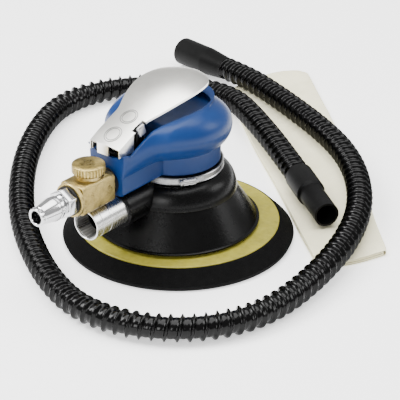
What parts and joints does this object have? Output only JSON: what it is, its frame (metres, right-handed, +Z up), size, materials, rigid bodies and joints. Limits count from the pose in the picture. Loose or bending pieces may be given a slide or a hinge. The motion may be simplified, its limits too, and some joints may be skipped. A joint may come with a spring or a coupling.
{
  "type": "pneumatic palm orbital sander",
  "caption": "Air-driven palm orbital sander with a round pad, throttle lever, air regulator and dust port, with its corrugated dust hose and folded cloth bag.",
  "frame": {"origin": "on the motor's axis, in the plane of the pad's face, where the tool rests", "axes": "+Z up along the motor's axis; the air inlet and the dust port point along -X; +Y follows by the right-hand rule"},
  "size_m": [0.3791, 0.312, 0.112],
  "materials": {
    "blue_paint": "satin blue paint on cast metal",
    "blue_plastic": "satin moulded blue",
    "black_plastic": "matte black",
    "steel": "ground steel",
    "bright_steel": "bright plated steel",
    "machined_aluminium": "turned, fine lathe marks",
    "lever_metal": "satin bright pressing",
    "brass": "pale brass, as machined",
    "black_rubber": "satin black moulding",
    "seal_rubber": "matte black",
    "vane_composite": "phenolic cloth laminate",
    "yellow_plate": "mottled yellow-green resin board",
    "pad_foam": "dense black foam",
    "hook_face": "short black hooks",
    "bag_cloth": "cream cotton twill",
    "hose_plastic": "glossy black, ribbed",
    "cuff_rubber": "satin black moulding"
  },
  "bodies": {
    "housing": {"motor_housing": "blue_paint", "grip_cover": "blue_plastic", "pivot_block": "black_plastic", "pivot_screws": "steel", "lever_pin": "steel", "lower_end_plate": "machined_aluminium", "upper_end_plate": "machined_aluminium", "cylinder_liner": "steel", "locating_pin": "steel", "lock_ring": "machined_aluminium", "lower_bearing_outer": "steel", "lower_bearing_balls": "steel", "upper_bearing_outer": "steel", "upper_bearing_balls": "steel", "shroud": "black_rubber", "skirt": "black_rubber", "clamp_band": "steel", "clamp_screw": "steel", "exhaust_tube": "machined_aluminium", "inlet_body": "brass", "inlet_seal": "seal_rubber", "plug_seal": "seal_rubber", "air_plug": "bright_steel", "valve_seat": "brass", "valve_guide": "brass", "valve_spring": "steel", "valve_plug": "brass"},
    "rotor": {"eccentric_shaft": "steel", "rotor_core": "steel", "rotor_vanes": "vane_composite", "rotor_key": "steel", "lower_bearing_inner": "steel", "upper_bearing_inner": "steel", "spindle_bearing_outer": "steel", "spindle_bearing_balls": "steel", "spindle_snap_ring": "steel"},
    "pad": {"spindle": "steel", "spindle_bearing_inner": "steel", "spindle_screw": "steel", "pad_stud": "steel", "pad_plate": "yellow_plate", "pad_foam": "pad_foam", "pad_hook_face": "hook_face"},
    "lever": {"lever": "lever_metal"},
    "valve": {"valve_stem": "steel", "valve_seal": "seal_rubber"},
    "regulator": {"regulator_knob": "brass", "regulator_spool": "brass", "regulator_seal": "seal_rubber"},
    "dust_bag": {"dust_bag": "bag_cloth"},
    "dust_hose": {"dust_hose": "hose_plastic", "hose_cuff_large": "cuff_rubber", "hose_cuff_small": "cuff_rubber"}
  },
  "joints": [
    {"name": "rotor_spin", "type": "hinge", "parent": "housing", "child": "rotor", "pos_m": [0, 0, 0.07], "axis": [0, 0, 1], "continuous": true},
    {"name": "pad_spin", "type": "hinge", "parent": "rotor", "child": "pad", "pos_m": [0.0025, 0, 0.03], "axis": [0, 0, 1], "continuous": true},
    {"name": "lever_press", "type": "hinge", "parent": "housing", "child": "lever", "pos_m": [-0.0465, 0, 0.0965], "axis": [0, 1, 0], "range_deg": [0, 5.5], "stiffness_Nm_per_rad": 1, "springref_deg": -5.73},
    {"name": "valve_stroke", "type": "slide", "parent": "housing", "child": "valve", "axis": [0, 0, -1], "range_m": [0, 0.0011], "deforming": ["valve_spring"]},
    {"name": "regulator_turn", "type": "hinge", "parent": "housing", "child": "regulator", "pos_m": [-0.0805, 0, 0.07], "axis": [0, 0, 1], "range_deg": [0, 180]},
    {"name": "bag_lift", "type": "slide", "parent": "housing", "child": "dust_bag", "axis": [0, 0, 1], "range_m": [0, 0.016]},
    {"name": "hose_lift", "type": "slide", "parent": "dust_bag", "child": "dust_hose", "axis": [0, 0, 1], "range_m": [0, 0.018]}
  ],
  "couplings": [
    {"joint": "valve_stroke", "follows": "lever_press", "m_per_rad": 0.0105}
  ]
}
